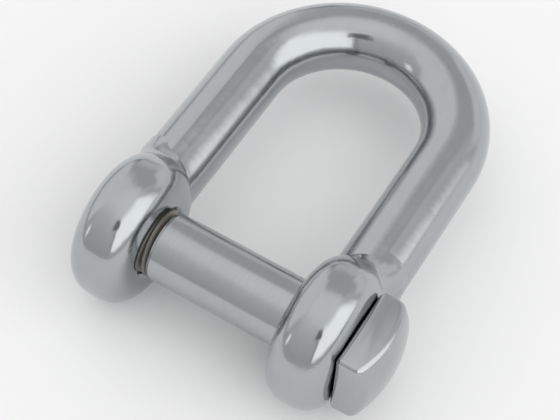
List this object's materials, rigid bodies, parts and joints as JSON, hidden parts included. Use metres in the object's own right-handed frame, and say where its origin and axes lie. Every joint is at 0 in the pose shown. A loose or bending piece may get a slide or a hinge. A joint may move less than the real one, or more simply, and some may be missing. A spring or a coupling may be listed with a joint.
{
  "type": "d shackle",
  "caption": "Small forged D shackle with parallel legs, a half-round crown, round eyes and a square-headed screw pin that closes the jaw.",
  "frame": {"origin": "on the pin's axis, midway between the two eyes", "axes": "+X along the pin, towards its head; +Y in the shackle's plane, from the pin to the crown; +Z square to the shackle's plane, up as it lies on its side"},
  "size_m": [0.0373, 0.0509, 0.017],
  "materials": {
    "polished_steel": "polished forged stainless steel, bright with a faint lengthwise polishing grain",
    "turned_steel": "turned stainless steel, bright with faint turning lines"
  },
  "bodies": {
    "shackle_body": {"shackle_body": "polished_steel"},
    "pin": {"square_head_pin": "turned_steel"}
  },
  "joints": [
    {"name": "pin_withdraw", "type": "slide", "parent": "shackle_body", "child": "pin", "axis": [1, 0, 0], "range_m": [0, 0.04]}
  ]
}
